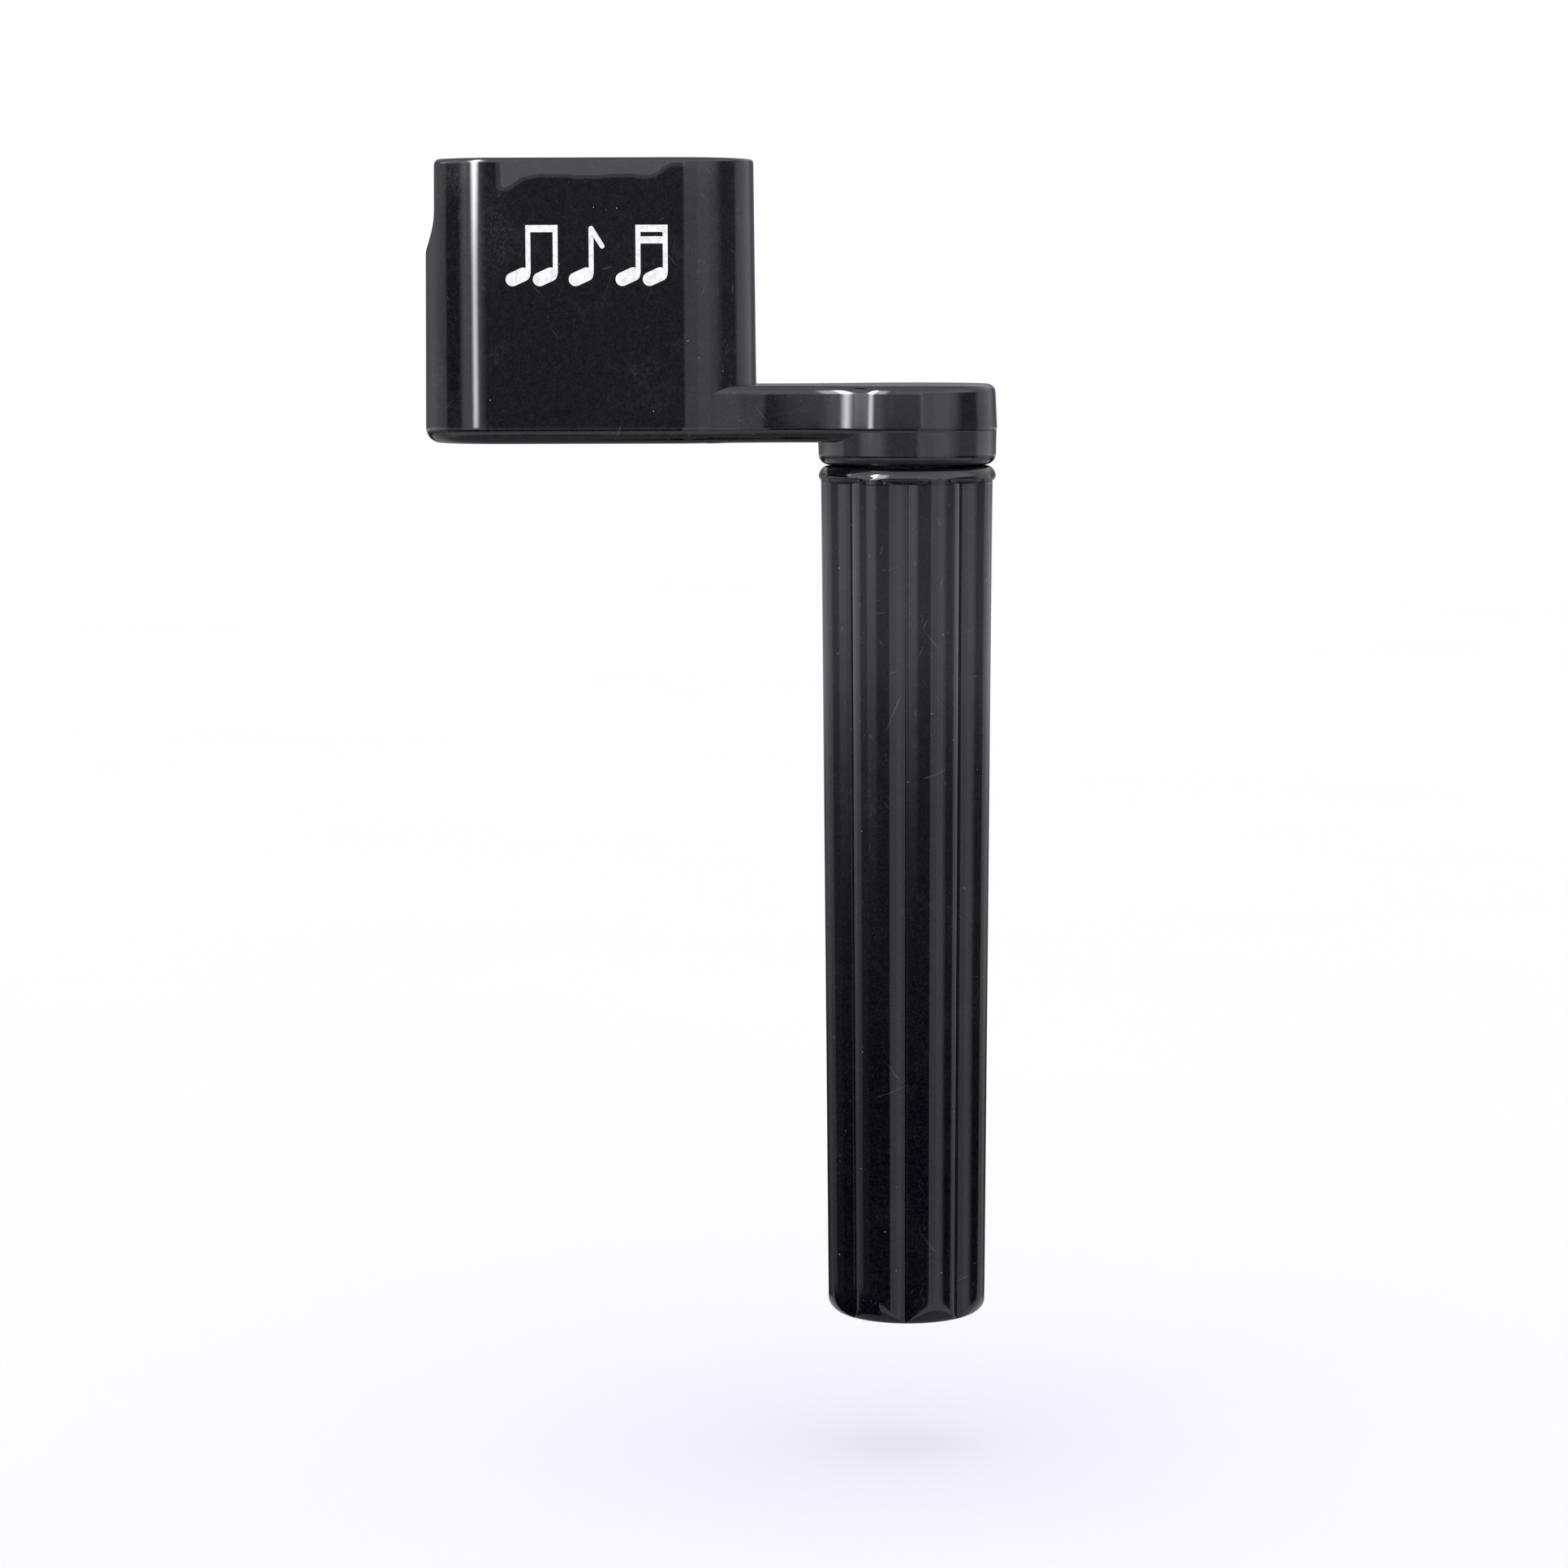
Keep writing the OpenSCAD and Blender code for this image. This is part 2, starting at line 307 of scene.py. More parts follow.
# ---------------------------------------------------------------- arm and hub
def arm_outline():
    """Half of the arm's plan, from the head round the waist and the hub.

    Each point is (x, y, outward x, outward y, share). The share is 0 at the head and 1 at the hub's end.
    """
    head_radius = END_RADIUS + DRAFT * (HEAD_REFERENCE_Z - ARM_FOOT)
    reach = -NEAR_X
    waist_x = (head_radius + WAIST_RADIUS) ** 2 - (HUB_RADIUS + WAIST_RADIUS) ** 2 - reach**2
    waist_x /= 2 * reach
    waist_y = math.sqrt((HUB_RADIUS + WAIST_RADIUS) ** 2 - waist_x**2)
    to_head = math.atan2(waist_y, NEAR_X - waist_x)
    to_hub = math.atan2(waist_y, -waist_x)
    hub_start = math.atan2(waist_y, waist_x)
    half = []
    for t in np.linspace(0, 1, 49)[:-1]:
        angle = to_head + (to_hub - to_head) * t
        x, y = math.cos(angle), math.sin(angle)
        half.append((waist_x + WAIST_RADIUS * x, waist_y - WAIST_RADIUS * y, -x, y, 0.5 * t))
    for t in np.linspace(0, 1, 65):
        angle = hub_start * (1 - t)
        x, y = math.cos(angle), math.sin(angle)
        half.append((HUB_RADIUS * x, HUB_RADIUS * y, x, y, 0.5 + 0.5 * t))
    return half


def arm_inset(share, z):
    """How far the arm's walls lean in, more steeply at the hub than beside the head."""
    at_hub = float(smooth_step(0.0, 0.3, share))
    height = z - ARM_FOOT
    return (1 - at_hub) * DRAFT * height + at_hub * ARM_DRAFT * max(height - FOOT_ROUND, 0.0)


def make_arm():
    """Waisted arm and the upper part of the hub. Its outline closes inside the head's wall."""
    half = arm_outline()
    start_angle = math.atan2(half[0][1], half[0][0] - NEAR_X)
    buried = END_RADIUS - 0.9 * MM
    outline = [
        (NEAR_X + buried * math.cos(angle), buried * math.sin(angle), 0.0, 0.0, 0.0)
        for angle in np.linspace(-start_angle, start_angle, 17)
    ]
    outline += half
    outline += [(x, -y, nx, -ny, share) for x, y, nx, ny, share in reversed(half[:-1])]
    top_round = 0.9 * MM
    rings = []

    def ring(inset, z):
        points = []
        for x, y, nx, ny, share in outline:
            inwards = inset + arm_inset(share, z)
            points.append((x - nx * inwards, y - ny * inwards, z))
        rings.append(points)

    ring(FOOT_ROUND + 0.5 * MM, ARM_FOOT)
    ring(FOOT_ROUND + SUPPORT, ARM_FOOT)
    for s, c in round_steps(14):
        ring(FOOT_ROUND * (1 - s), ARM_FOOT + FOOT_ROUND * (1 - c))
    for share in (0.02, 0.35, 0.7, 0.96, 1.0):
        ring(0.0, ARM_FOOT + FOOT_ROUND + (ARM_THICKNESS - FOOT_ROUND - top_round) * share)
    for s, c in round_steps(14)[1:]:
        ring(top_round * (1 - c), ARM_TOP - top_round * (1 - s))
    ring(top_round + SUPPORT, ARM_TOP)
    ring(top_round + 0.6 * MM, ARM_TOP)
    verts, faces = loft(rings)
    return mesh_object("crank_arm", verts, faces, "crank", "crank_body")


def revolved(profile, count):
    """Rings of a profile of (radius, z) points, turned about the handle's axis."""
    turns = np.linspace(0, 2 * math.pi, count + 1)[:-1]
    return [[(radius * math.cos(a), radius * math.sin(a), z) for a in turns] for radius, z in profile]


def make_hub_boss():
    """Round boss under the hub. It comes out of the arm's round edge, and ends inside the arm."""
    radius = HUB_RADIUS - SUPPORT
    seam = ARM_FOOT + FOOT_ROUND * 0.85
    foot_round = 1.1 * MM
    foot_radius = radius - BOSS_DRAFT * (seam - HUB_FOOT - foot_round)
    bore_top = ARM_TOP - 1.4 * MM
    profile = [(HUB_BORE, bore_top), (HUB_BORE, HUB_FOOT), (HUB_BORE + 0.1 * MM, HUB_FOOT)]
    profile.append((foot_radius - foot_round - SUPPORT, HUB_FOOT))
    for s, c in round_steps(8):
        profile.append((foot_radius - foot_round * (1 - s), HUB_FOOT + foot_round * (1 - c)))
    for height in (foot_round + SUPPORT, HUB_BOSS, seam - HUB_FOOT - SUPPORT):
        profile.append((foot_radius + BOSS_DRAFT * (height - foot_round), HUB_FOOT + height))
    profile.append((radius, seam))
    profile.append((radius - 0.8 * MM, seam + 0.1 * MM))
    profile.append((HUB_BORE + 0.4 * MM, bore_top))
    verts, faces = loft(revolved(profile, 160), closed=True)
    return mesh_object("hub_boss", verts, faces, "crank", "crank_body")


# ---------------------------------------------------------------- grip
def lobe_reach(angle):
    """Distance from the axis to the grip's outline at the top, with a small round in each groove."""
    turned = angle - GRIP_TURN
    nearest = math.floor(turned / LOBE_PITCH) + 0.5
    reaches = []
    for lobe in (nearest - 1, nearest, nearest + 1):
        away = turned - lobe * LOBE_PITCH
        side = LOBE_OFFSET * math.sin(away)
        if abs(side) < LOBE_RADIUS:
            reaches.append(LOBE_OFFSET * math.cos(away) + math.sqrt(LOBE_RADIUS**2 - side**2))
    reaches.sort()
    groove_blend = 0.22 * MM
    near, far = reaches[-2:] if len(reaches) > 1 else (0.0, reaches[-1])
    blend = max(groove_blend - (far - near), 0) / groove_blend
    return far + blend * blend * groove_blend / 4


def grip_angles():
    """Angles round the grip, closer together beside each groove."""
    steps = 30
    crowding = 0.75
    angles = []
    for lobe in range(LOBES):
        for i in range(steps):
            t = i / steps
            eased = t - crowding * math.sin(2 * math.pi * t) / (2 * math.pi)
            angles.append(GRIP_TURN + (lobe + eased) * LOBE_PITCH)
    return angles


def taper_at(z):
    """The grip's width at a height, as a share of its width under the bead."""
    return GRIP_TAPER + (1 - GRIP_TAPER) * z / BEAD_MIDDLE


def corner_reach(z):
    """Radius of the long soft corner at the grip's lower end."""
    rise = min(max(1 - z / CORNER_HEIGHT, 0.0), 1.0)
    return FOOT_REACH - CORNER_WIDTH * (1 - math.sqrt(1 - rise**2))


def lobed_radii(reaches, z):
    """The fluted outline, kept inside the soft corner. Above the corner the limit moves away slowly."""
    limit_slope = 0.06
    edge = 0.1 * MM
    limit = corner_reach(z) + limit_slope * max(z - CORNER_HEIGHT, 0.0)
    radii = []
    for reach in reaches:
        radius = reach * taper_at(z)
        blend = max(edge - abs(radius - limit), 0.0) / edge
        radii.append(min(radius, limit) - blend * blend * edge / 4)
    return radii


def grip_heights():
    """Heights of the fluted rings: close over the corner, wider up the shaft, close under the bead."""
    under_bead = BEAD_MIDDLE - BEAD_BELOW
    heights = [CORNER_HEIGHT * (1 - c) for _, c in round_steps(48)[1:]]
    heights += list(np.linspace(CORNER_HEIGHT + 0.3 * MM, CORNER_HEIGHT + 3.9 * MM, 13))
    heights += list(np.linspace(CORNER_HEIGHT + 5.0 * MM, under_bead - 0.6 * MM, 28))
    heights += [under_bead - below * MM for below in (0.3, 0.12, 0.04)]
    return heights


def make_grip():
    """Hollow fluted handle: end corner, shaft, and the bead round its top."""
    angles = grip_angles()
    reaches = [lobe_reach(a) for a in angles]
    neck = GRIP_HIGH.x - BEAD_ROUND
    bore = PLUG_HIGH.x + 0.02 * MM
    top = GRIP_HIGH.z
    top_power = 1.7
    rings = []

    def add(radii, z):
        rings.append([(r * math.cos(a), r * math.sin(a), z) for a, r in zip(angles, radii)])

    def add_round(radius, z):
        add([radius] * len(angles), z)

    add_round(bore, 0.25 * MM)
    add_round(bore + 0.25 * MM, 0.0)
    add_round(FOOT_REACH - CORNER_WIDTH - SUPPORT, 0.0)
    for z in grip_heights():
        add(lobed_radii(reaches, z), z)
    for s, c in round_steps(10)[1:]:
        bead = neck + BEAD_ROUND * s
        add([max(bead, r * taper_at(BEAD_MIDDLE)) for r in reaches], BEAD_MIDDLE - BEAD_BELOW * c)
    for s, _ in round_steps(12)[1:]:
        swell = (1 - s**top_power) ** (1 / top_power)
        add_round(neck + BEAD_ROUND * swell, BEAD_MIDDLE + BEAD_ABOVE * s)
    add_round(neck - SUPPORT, top)
    add_round(bore + 0.1 * MM, top)
    add_round(bore, top - 0.1 * MM)
    verts, faces = loft(rings, closed=True)
    return mesh_object("fluted_grip", verts, faces, "handle", "grip")


def make_end_plug():
    """Flush plug with a chamfered end, hollow behind it."""
    radius = PLUG_HIGH.x
    chamfer = 0.25 * MM
    wall = 1.6 * MM
    centre = 0.4 * MM
    profile = [(centre, 0.0), (radius - chamfer, 0.0), (radius, chamfer), (radius, PLUG_HIGH.z)]
    profile += [(radius - wall, PLUG_HIGH.z), (radius - wall, wall), (centre, wall)]
    verts, faces = loft(revolved(profile, 96))
    return mesh_object("flush_plug", verts, faces, "handle", "end_plug")


# ---------------------------------------------------------------- printed mark
def make_mark():
    """The row of notes, laid on the head's leaning front."""
    mesh = frame["nodes"]["printed_mark"].data.copy()
    mesh.name = "printed_notes"
    for vertex in mesh.vertices:
        vertex.co.y -= DRAFT * (HEAD_REFERENCE_Z - vertex.co.z)
    piece = link_object("printed_notes", mesh)
    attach(piece, "crank")
    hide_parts("printed_mark")
    return piece


# ---------------------------------------------------------------- node helpers
class Nodes:
    """Short way to add linked nodes to a tree."""

    def __init__(self, tree):
        self.tree = tree
        tree.nodes.clear()

    def add(self, kind, **values):
        node = self.tree.nodes.new(kind)
        for name, value in values.items():
            setattr(node, name, value)
        return node

    def link(self, output, target):
        self.tree.links.new(output, target)

    def value(self, target, source):
        """Sets a socket from a number or links it from an output."""
        if isinstance(source, (int, float)):
            target.default_value = source
        else:
            self.link(source, target)

    def math(self, operation, a, b=0.0):
        node = self.add("ShaderNodeMath", operation=operation)
        self.value(node.inputs[0], a)
        self.value(node.inputs[1], b)
        return node.outputs[0]

    def ramp(self, low, high, source, to_low=0.0, to_high=1.0):
        """Smooth step of a value between two limits."""
        node = self.add("ShaderNodeMapRange", interpolation_type="SMOOTHSTEP")
        self.value(node.inputs["Value"], source)
        node.inputs["From Min"].default_value = low
        node.inputs["From Max"].default_value = high
        node.inputs["To Min"].default_value = to_low
        node.inputs["To Max"].default_value = to_high
        return node.outputs["Result"]

    def noise(self, scale, vector, detail=2.0, roughness=0.5):
        node = self.add("ShaderNodeTexNoise")
        node.inputs["Scale"].default_value = scale
        node.inputs["Detail"].default_value = detail
        node.inputs["Roughness"].default_value = roughness
        self.link(vector, node.inputs["Vector"])
        return node.outputs["Fac"]

    def stretched(self, vector, scale, turn):
        """Coordinates turned about each axis and then scaled, for streaks along the turned axes."""
        node = self.add("ShaderNodeMapping", vector_type="TEXTURE")
        node.inputs["Rotation"].default_value = [math.radians(a) for a in turn]
        node.inputs["Scale"].default_value = [1 / stretch for stretch in scale]
        self.link(vector, node.inputs["Vector"])
        return node.outputs["Vector"]

    def mix_colour(self, factor, a, b):
        node = self.add("ShaderNodeMix", data_type="RGBA")
        self.value(node.inputs[0], factor)
        for socket, source in ((node.inputs[6], a), (node.inputs[7], b)):
            if isinstance(source, tuple):
                socket.default_value = (*source, 1.0)
            else:
                self.link(source, socket)
        return node.outputs[2]


def new_material(name):
    """A material with a Principled shader, its nodes, the shader and the piece's own coordinates."""
    material = bpy.data.materials.new(name)
    material.use_nodes = True
    nodes = Nodes(material.node_tree)
    output = nodes.add("ShaderNodeOutputMaterial")
    shader = nodes.add("ShaderNodeBsdfPrincipled")
    nodes.link(shader.outputs["BSDF"], output.inputs["Surface"])
    place = nodes.add("ShaderNodeTexCoord").outputs["Object"]
    return material, nodes, shader, place


def add_bump(nodes, shader, height, strength, distance):
    bump = nodes.add("ShaderNodeBump")
    bump.inputs["Strength"].default_value = strength
    bump.inputs["Distance"].default_value = distance
    nodes.link(height, bump.inputs["Height"])
    nodes.link(bump.outputs["Normal"], shader.inputs["Normal"])


def dust_specks(nodes, place, spacing, share, size):
    """Mask of a few small round specks, one in some of the cells of a grid of points."""
    cells = nodes.add("ShaderNodeTexVoronoi", feature="F1")
    cells.inputs["Scale"].default_value = 1 / spacing
    nodes.link(place, cells.inputs["Vector"])
    near = nodes.ramp(size / spacing, 0.4 * size / spacing, cells.outputs["Distance"])
    chosen = nodes.add("ShaderNodeSeparateColor")
    nodes.link(cells.outputs["Color"], chosen.inputs["Color"])
    kept = nodes.math("GREATER_THAN", chosen.outputs["Red"], 1 - share)
    return nodes.math("MULTIPLY", near, kept)


def fine_scratches(nodes, place, strength):
    """Mask of faint hairline scratches that run a few ways and break off."""
    total = None
    for turn, seed_turn in (((0, 22, 8), 0.62), ((0, -38, 5), 0.66), ((0, 71, 12), 0.64)):
        streaks = nodes.noise(1.0, nodes.stretched(place, (2600, 2600, 70), turn), 1.0)
        broken = nodes.noise(120.0 * seed_turn, place, 1.0)
        line = nodes.ramp(0.72, 0.79, streaks)
        gate = nodes.ramp(0.44, 0.56, broken)
        mask = nodes.math("MULTIPLY", line, gate)
        total = mask if total is None else nodes.math("MAXIMUM", total, mask)
    return nodes.math("MULTIPLY", total, strength)


def handling_wear(nodes, place, haze):
    """Mask of haze in patches, a thin uneven film, fine grit and hairline scratches."""
    patches = nodes.ramp(0.5, 0.7, nodes.noise(170.0, place, 3.0, 0.6))
    scuffs = nodes.ramp(0.42, 0.85, nodes.noise(3200.0, place, 5.0, 0.9))
    film = nodes.ramp(0.34, 0.74, nodes.noise(1300.0, place, 5.0, 0.85))
    grit = nodes.ramp(0.44, 0.72, nodes.noise(4300.0, place, 2.0, 0.7))
    mask = nodes.math("MULTIPLY", nodes.math("MULTIPLY", patches, scuffs), 1.5 * haze)
    mask = nodes.math("ADD", mask, nodes.math("MULTIPLY", film, 0.2 * haze))
    mask = nodes.math("ADD", mask, nodes.math("MULTIPLY", grit, 0.12 + 0.08 * haze))
    return nodes.math("MAXIMUM", mask, fine_scratches(nodes, place, 0.9))


def gloss_black(name, haze, speck_share):
    """Polished black moulding with slight waviness, handling wear and a few dust specks."""
    material, nodes, shader, place = new_material(name)
    wear = handling_wear(nodes, place, haze)
    specks = dust_specks(nodes, place, 1.2 * MM, speck_share, 0.075 * MM)
    tone = nodes.mix_colour(wear, (0.0004, 0.0004, 0.0022), (0.036, 0.036, 0.040))
    tone = nodes.mix_colour(specks, tone, (0.30, 0.30, 0.31))
    nodes.link(tone, shader.inputs["Base Color"])
    rough = nodes.ramp(0.3, 0.75, nodes.noise(60.0, place, 3.0), 0.03, 0.055)
    rough = nodes.math("ADD", rough, nodes.math("MULTIPLY", wear, 0.05))
    rough = nodes.math("MAXIMUM", rough, nodes.math("MULTIPLY", specks, 0.7))
    nodes.link(rough, shader.inputs["Roughness"])
    shader.inputs["IOR"].default_value = 1.5
    waves = nodes.noise(330.0, place, 1.0)
    grain = nodes.noise(9000.0, place, 2.0)
    height = nodes.math("ADD", waves, nodes.math("MULTIPLY", grain, 0.02))
    height = nodes.math("ADD", height, nodes.math("MULTIPLY", specks, 1.2))
    add_bump(nodes, shader, height, 0.35, 0.012 * MM)
    return material


def white_ink():
    """Pad-printed ink, a little uneven in cover."""
    material, nodes, shader, place = new_material("pad_print_white")
    cover = nodes.noise(2400.0, place, 3.0)
    tone = nodes.mix_colour(nodes.ramp(0.3, 0.62, cover), (0.72, 0.72, 0.71), (0.93, 0.93, 0.93))
    nodes.link(tone, shader.inputs["Base Color"])
    nodes.link(nodes.ramp(0.3, 0.7, cover, 0.5, 0.34), shader.inputs["Roughness"])
    add_bump(nodes, shader, cover, 0.4, 0.01 * MM)
    return material


def turned_steel():
    """Bright steel with fine turning lines round its axis."""
    material, nodes, shader, place = new_material("turned_steel")
    lines = nodes.noise(1.0, nodes.stretched(place, (60, 60, 9000), (0, 0, 0)), 2.0)
    tone = nodes.mix_colour(lines, (0.50, 0.50, 0.51), (0.68, 0.68, 0.69))
    nodes.link(tone, shader.inputs["Base Color"])
    shader.inputs["Metallic"].default_value = 1.0
    nodes.link(nodes.ramp(0.2, 0.8, lines, 0.2, 0.36), shader.inputs["Roughness"])
    add_bump(nodes, shader, lines, 0.3, 0.01 * MM)
    return material


def bearing_plastic():
    """Natural acetal, off-white and slightly mottled."""
    material, nodes, shader, place = new_material("natural_acetal")
    mottle = nodes.noise(500.0, place, 3.0)
    tone = nodes.mix_colour(mottle, (0.78, 0.75, 0.67), (0.87, 0.85, 0.79))
    nodes.link(tone, shader.inputs["Base Color"])
    nodes.link(nodes.ramp(0.3, 0.7, mottle, 0.38, 0.5), shader.inputs["Roughness"])
    shader.inputs["Subsurface Weight"].default_value = 0.1
    shader.inputs["Subsurface Scale"].default_value = 1.0 * MM
    return material


def as_moulded_gap_shade():
    """Unpolished black of the faces that meet between hub and grip, with its reflection cut almost to
    nothing so that it paints shade into the gap.
    """
    material, nodes, shader, place = new_material("as_moulded_gap_shade")
    grain = nodes.noise(5000.0, place, 3.0)
    tone = nodes.mix_colour(grain, (0.002, 0.002, 0.003), (0.008, 0.008, 0.009))
    nodes.link(tone, shader.inputs["Base Color"])
    nodes.link(nodes.ramp(0.3, 0.7, grain, 0.75, 0.9), shader.inputs["Roughness"])
    # reflection cut almost to nothing: painted shade in the gap between hub and grip
    shader.inputs["Specular IOR Level"].default_value = 0.05
    return material


def paint(piece, material):
    piece.data.materials.clear()
    piece.data.materials.append(material)


def paint_gap_shade(piece, material):
    """A second finish on the flat faces in the gap between hub and grip, which paints shade into that
    gap.
    """
    piece.data.materials.append(material)
    middle = (GRIP_HIGH.z + HUB_FOOT) / 2
    for face in piece.data.polygons:
        if abs(face.center.z - middle) < 0.1 * MM and abs(face.normal.z) > 0.9:
            face.material_index = 1


# ---------------------------------------------------------------- studio
class Studio:
    """What the gloss mirrors, by direction: degrees round from the front towards +X, and degrees up."""

    def __init__(self, nodes):
        self.nodes = nodes
        direction = nodes.add("ShaderNodeTexCoord").outputs["Generated"]
        split = nodes.add("ShaderNodeSeparateXYZ")
        nodes.link(direction, split.inputs[0])
        east, north, up = split.outputs
        turn = nodes.math("ARCTAN2", east, nodes.math("MULTIPLY", north, -1.0))
        self.turn = nodes.math("MULTIPLY", turn, 180 / math.pi)
        self.tilt = nodes.math("MULTIPLY", nodes.math("ARCSINE", up), 180 / math.pi)

    def window(self, source, low, high, soft_low, soft_high):
        """1 between two limits, fading out over soft_low below and soft_high above."""
        return self.nodes.math(
            "MULTIPLY",
            self.nodes.ramp(low - soft_low, low, source),
            self.nodes.ramp(high + soft_high, high, source),
        )

    def across(self, low, high, soft_low, soft_high):
        return self.window(self.turn, low, high, soft_low, soft_high)

    def upward(self, low, high, soft_low, soft_high):
        return self.window(self.tilt, low, high, soft_low, soft_high)

    def product(self, first, *others):
        total = first
        for factor in others:
            total = self.nodes.math("MULTIPLY", total, factor)
        return total

    def sum(self, first, *others):
        total = first
        for term in others:
            total = self.nodes.math("ADD", total, term)
        return total

    def blend(self, factor, a, b):
        """a where the factor is 0 and b where it is 1."""
        kept = self.product(self.nodes.math("SUBTRACT", 1.0, factor), a)
        return self.sum(kept, self.product(factor, b))


def studio_level(studio):
    """Brightness of the studio round the object: two side walls, a lit panel and dark gaps."""
    ramp, tilt = studio.nodes.ramp, studio.tilt
    low_dim = ramp(-12.5, -3.0, tilt)
    above_grip = ramp(-3.0, -0.8, tilt)
    left_wall = studio.product(
        studio.across(-118, -96, 34, 7),
        studio.blend(low_dim, 0.3, studio.blend(above_grip, 0.62, 0.42)),
    )
    left_gap = studio.product(studio.across(-89, -68, 5, 10), studio.blend(above_grip, 0.06, -0.1))
    front = studio.sum(
        studio.blend(ramp(-12.5, -5.5, tilt), 0.02, 0.19),
        studio.product(studio.upward(-4.8, -3.6, 2.4, 1.6), 0.4),
        studio.product(ramp(0.0, 2.0, tilt), 0.03),
    )
    glow = studio.product(studio.across(-58, -40, 12, 16), ramp(-9.5, -2.8, tilt), 1.1)
    slip = studio.product(ramp(-1.6, -3.4, tilt), 4.0)
    panel = studio.product(
        studio.window(studio.sum(studio.turn, slip), 18, 57, 5, 20),
        studio.blend(ramp(2.4, 3.2, tilt), 0.72, 1.2),
    )
    panel_heart = studio.product(studio.across(37, 50, 5, 8), 0.2)
    right_wall = studio.product(studio.across(105, 130, 9, 22), studio.blend(low_dim, 0.5, 0.6))
    level = studio.sum(left_wall, left_gap, front, glow, panel, panel_heart, right_wall)
    canopy = studio.product(studio.across(-22, 16, 12, 4), ramp(3.2, 3.8, tilt), 0.66)
    screen = studio.product(studio.across(-34, 16, 10, 4), studio.upward(6.4, 12, 0.6, 4), 0.95)
    waist_glow = studio.product(studio.across(-100, -57, 10, 5), ramp(2.6, 3.4, tilt), 2.1)
    hub_glow = studio.product(studio.across(-52, -28, 6, 14), ramp(2.6, 3.4, tilt), 0.2)
    return studio.sum(level, canopy, screen, waist_glow, hub_glow)


def surroundings_level(studio):
    """The studio with its sky above, a box high at the front left, and the table below."""
    ramp, tilt = studio.nodes.ramp, studio.tilt
    in_front = studio.across(-85, 85, 25, 25)
    sky = studio.blend(in_front, 0.9, studio.blend(ramp(24, 60, tilt), 2.1, 1.5))
    level = studio.blend(ramp(7, 22, tilt), studio_level(studio), sky)
    high_box = studio.product(studio.across(-50, -34, 8, 9), studio.upward(9, 33, 3.5, 18), 8.0)
    level = studio.sum(level, high_box)
    table_edge = studio.blend(in_front, 0.5, 0.95)
    table_near = studio.blend(in_front, 0.3, 0.36)
    table = studio.blend(ramp(-34, -44, tilt), table_edge, table_near)
    return studio.blend(ramp(-14.5, -20, tilt), level, table)


def make_studio():
    """White surroundings for the eye. The gloss sees a photographer's studio instead."""
    world = bpy.data.worlds.new("studio")
    bpy.context.scene.world = world
    world.use_nodes = True
    world.cycles.sampling_method = "NONE"
    nodes = Nodes(world.node_tree)
    studio = Studio(nodes)
    path = nodes.add("ShaderNodeLightPath")
    seen = studio.blend(path.outputs["Is Glossy Ray"], 1.13, surroundings_level(studio))
    background = nodes.add("ShaderNodeBackground")
    background.inputs["Color"].default_value = LIGHT_TINT
    nodes.link(seen, background.inputs["Strength"])
    output = nodes.add("ShaderNodeOutputWorld")
    nodes.link(background.outputs[0], output.inputs["Surface"])


def only_for_gloss(piece):
    """Leaves a stage piece visible to reflections alone."""
    piece.visible_camera = False
    piece.visible_diffuse = False
    piece.visible_shadow = False
    piece.visible_transmission = False


def softbox_power(nodes):
    """Brightness over the softbox: brighter and a little wider in its upper part, soft at the sides."""
    split = nodes.add("ShaderNodeSeparateXYZ")
    nodes.link(nodes.add("ShaderNodeTexCoord").outputs["Object"], split.inputs[0])
    aside, _, height = split.outputs
    upper = nodes.ramp(112 * MM, 142 * MM, height)
    aside = nodes.math("DIVIDE", aside, nodes.math("ADD", nodes.math("MULTIPLY", upper, 0.35), 1.0))
    left = nodes.ramp(-22 * MM, 4 * MM, aside)
    right = nodes.ramp(28 * MM, 0 * MM, aside)
    rise = nodes.ramp(76 * MM, 98 * MM, height)
    power = nodes.math("ADD", nodes.math("MULTIPLY", upper, 20.0), 13.5)
    sides = nodes.math("MULTIPLY", left, right)
    return nodes.math("MULTIPLY", sides, nodes.math("MULTIPLY", rise, power))


def softbox_light():
    """Light added to what lies behind it, so that the softbox has no dark edge."""
    material = bpy.data.materials.new("softbox_light")
    material.use_nodes = True
    nodes = Nodes(material.node_tree)
    light = nodes.add("ShaderNodeEmission")
    light.inputs["Color"].default_value = LIGHT_TINT
    nodes.link(softbox_power(nodes), light.inputs["Strength"])
    through = nodes.add("ShaderNodeBsdfTransparent")
    both = nodes.add("ShaderNodeAddShader")
    nodes.link(light.outputs[0], both.inputs[0])
    nodes.link(through.outputs[0], both.inputs[1])
    output = nodes.add("ShaderNodeOutputMaterial")
    nodes.link(both.outputs[0], output.inputs["Surface"])
    return material


def make_softbox():
    """Tall soft light at the front left, near enough to sit differently in the head and in the hub."""
    distance, turn = 230 * MM, math.radians(-45.5)
    side, foot, top = 60 * MM, 60 * MM, 330 * MM
    mesh = bpy.data.meshes.new("softbox")
    corners = [(-side, 0, foot), (side, 0, foot), (side, 0, top), (-side, 0, top)]
    mesh.from_pydata(corners, [], [(0, 1, 2, 3)])
    softbox = link_object("softbox", mesh)
    softbox.location = (NEAR_X + distance * math.sin(turn), -distance * math.cos(turn), 0)
    softbox.rotation_euler = (0, 0, turn)
    only_for_gloss(softbox)
    paint(softbox, softbox_light())


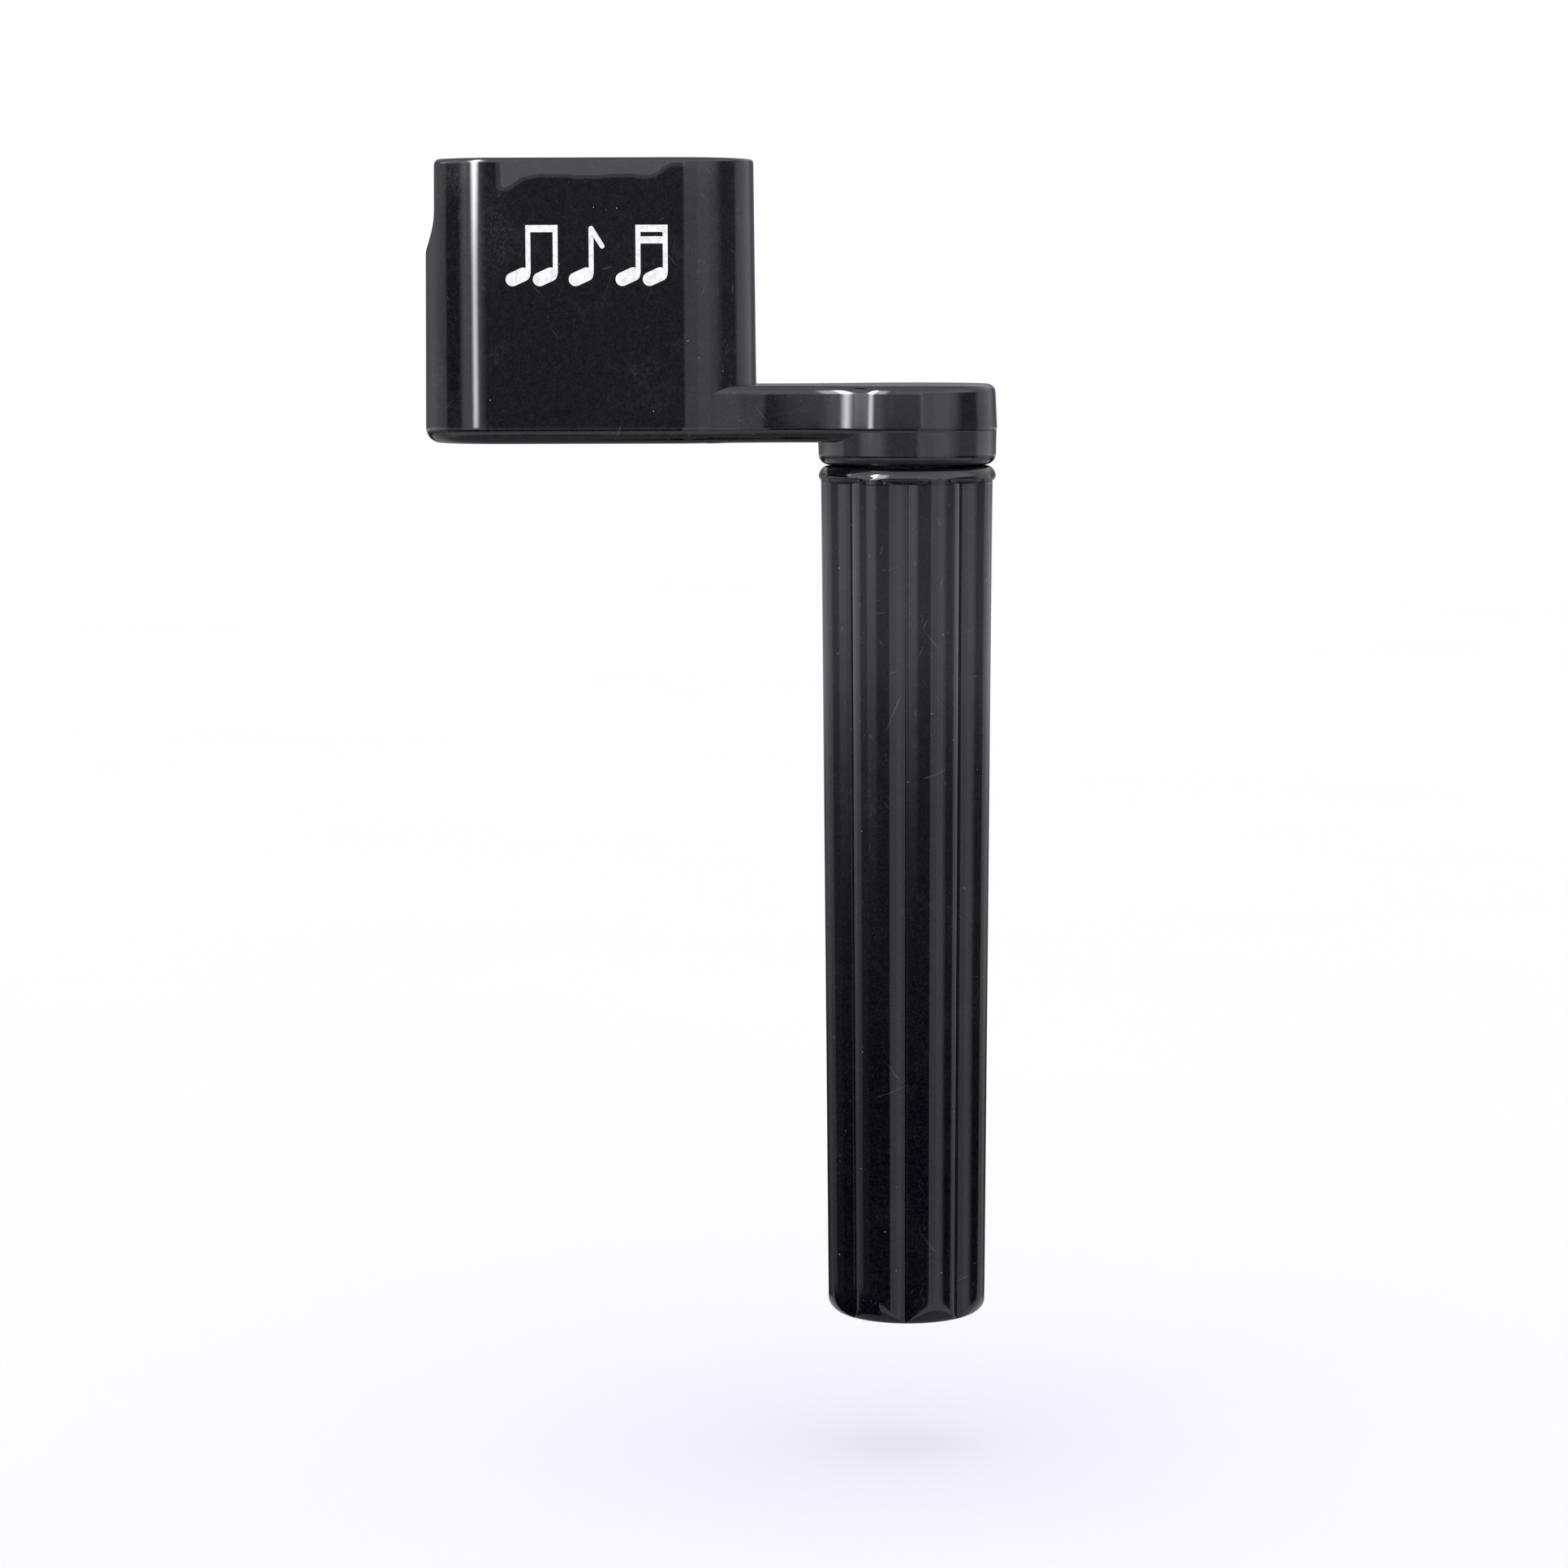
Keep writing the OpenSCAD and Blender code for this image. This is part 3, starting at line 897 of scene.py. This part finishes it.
def flag_cloth(clear_from, clear_at):
    """Black cloth that fades out between two distances from the handle's axis."""
    material, nodes, shader, place = new_material("flag_cloth")
    weave = nodes.noise(900.0, place, 2.0)
    tone = nodes.mix_colour(weave, (0.002, 0.002, 0.002), (0.006, 0.006, 0.006))
    nodes.link(tone, shader.inputs["Base Color"])
    shader.inputs["Roughness"].default_value = 0.9
    shader.inputs["Specular IOR Level"].default_value = 0.0
    split = nodes.add("ShaderNodeSeparateXYZ")
    nodes.link(place, split.inputs[0])
    squares = [nodes.math("MULTIPLY", axis, axis) for axis in split.outputs[:2]]
    reach = nodes.math("SQRT", nodes.math("ADD", *squares))
    nodes.link(nodes.ramp(clear_at, clear_from, reach), shader.inputs["Alpha"])
    return material


def make_flag():
    """Black card low at the front left, which keeps the table's light off the round end of the grip."""
    inner, outer, height = 11 * MM, 40 * MM, -4 * MM
    turns = [math.radians(a) for a in np.linspace(-100, -30, 15)]
    verts = [(r * math.sin(a), -r * math.cos(a), height) for r in (inner, outer) for a in turns]
    count = len(turns)
    faces = [(i, i + 1, count + i + 1, count + i) for i in range(count - 1)]
    mesh = bpy.data.meshes.new("flag")
    mesh.from_pydata(verts, [], faces)
    flag = link_object("flag", mesh)
    only_for_gloss(flag)
    paint(flag, flag_cloth(outer - 10 * MM, outer))


def make_floor():
    """Round pale floor, wide enough to fill the view. The gloss mirrors the studio instead of it."""
    bm = bmesh.new()
    bmesh.ops.create_circle(bm, cap_ends=True, segments=96, radius=9.0)
    mesh = bpy.data.meshes.new("floor")
    bm.to_mesh(mesh)
    bm.free()
    floor = link_object("floor", mesh)
    floor.location.z = -15 * MM
    floor.visible_glossy = False
    material, nodes, shader, place = new_material("pale_floor")
    mottle = nodes.noise(6.0, place, 3.0)
    tone = nodes.mix_colour(mottle, (0.87, 0.87, 0.87), (0.9, 0.9, 0.9))
    nodes.link(tone, shader.inputs["Base Color"])
    shader.inputs["Roughness"].default_value = 0.9
    shader.inputs["Specular IOR Level"].default_value = 0.1
    paint(floor, material)


# ---------------------------------------------------------------- camera
def make_camera():
    """Close lens from the front, level with the hub's top, so the handle's tip is seen from above."""
    distance, height = 450 * MM, 107 * MM
    view_width = 166.6 * MM
    roll_angle = math.radians(0.16)
    low, high = cad_box
    centre = (low + high) / 2
    aim = Vector((centre.x + 7.45 * MM, 0.0, centre.z - 4.46 * MM))
    camera_data = bpy.data.cameras.new("camera")
    camera_data.sensor_width = 36.0
    camera_data.clip_start = 0.05
    camera_data.clip_end = 100.0
    camera = link_object("camera", camera_data)
    camera.location = (aim.x, -distance, height)
    away = aim - camera.location
    camera_data.lens = camera_data.sensor_width * away.length / view_width
    camera.rotation_mode = "QUATERNION"
    roll = Quaternion(away.normalized(), roll_angle)
    camera.rotation_quaternion = roll @ away.to_track_quat("-Z", "Y")
    bpy.context.scene.camera = camera


# ---------------------------------------------------------------- build
make_camera()
make_studio()
make_softbox()
make_flag()
make_floor()

crank_black = gloss_black("gloss_black_crank", 1.0, 0.12)
grip_black = gloss_black("gloss_black_grip", 0.5, 0.2)
steel = turned_steel()
acetal = bearing_plastic()
ink = white_ink()
gap_shade_black = as_moulded_gap_shade()

hub_boss, fluted_grip = make_hub_boss(), make_grip()
for piece in (make_head(), make_arm(), hub_boss):
    paint(piece, crank_black)
for piece in (fluted_grip, make_end_plug()):
    paint(piece, grip_black)
# the flat faces in the gap between hub and grip get a painted shade
for piece in (hub_boss, fluted_grip):
    paint_gap_shade(piece, gap_shade_black)
paint(make_mark(), ink)
for name in ("spindle", "retaining_washer", "retaining_screw"):
    paint(frame["nodes"][name], steel)
for name in ("thrust_washer", "upper_bush", "lower_bush"):
    paint(frame["nodes"][name], acetal)

bpy.context.scene.view_settings.view_transform = "Standard"
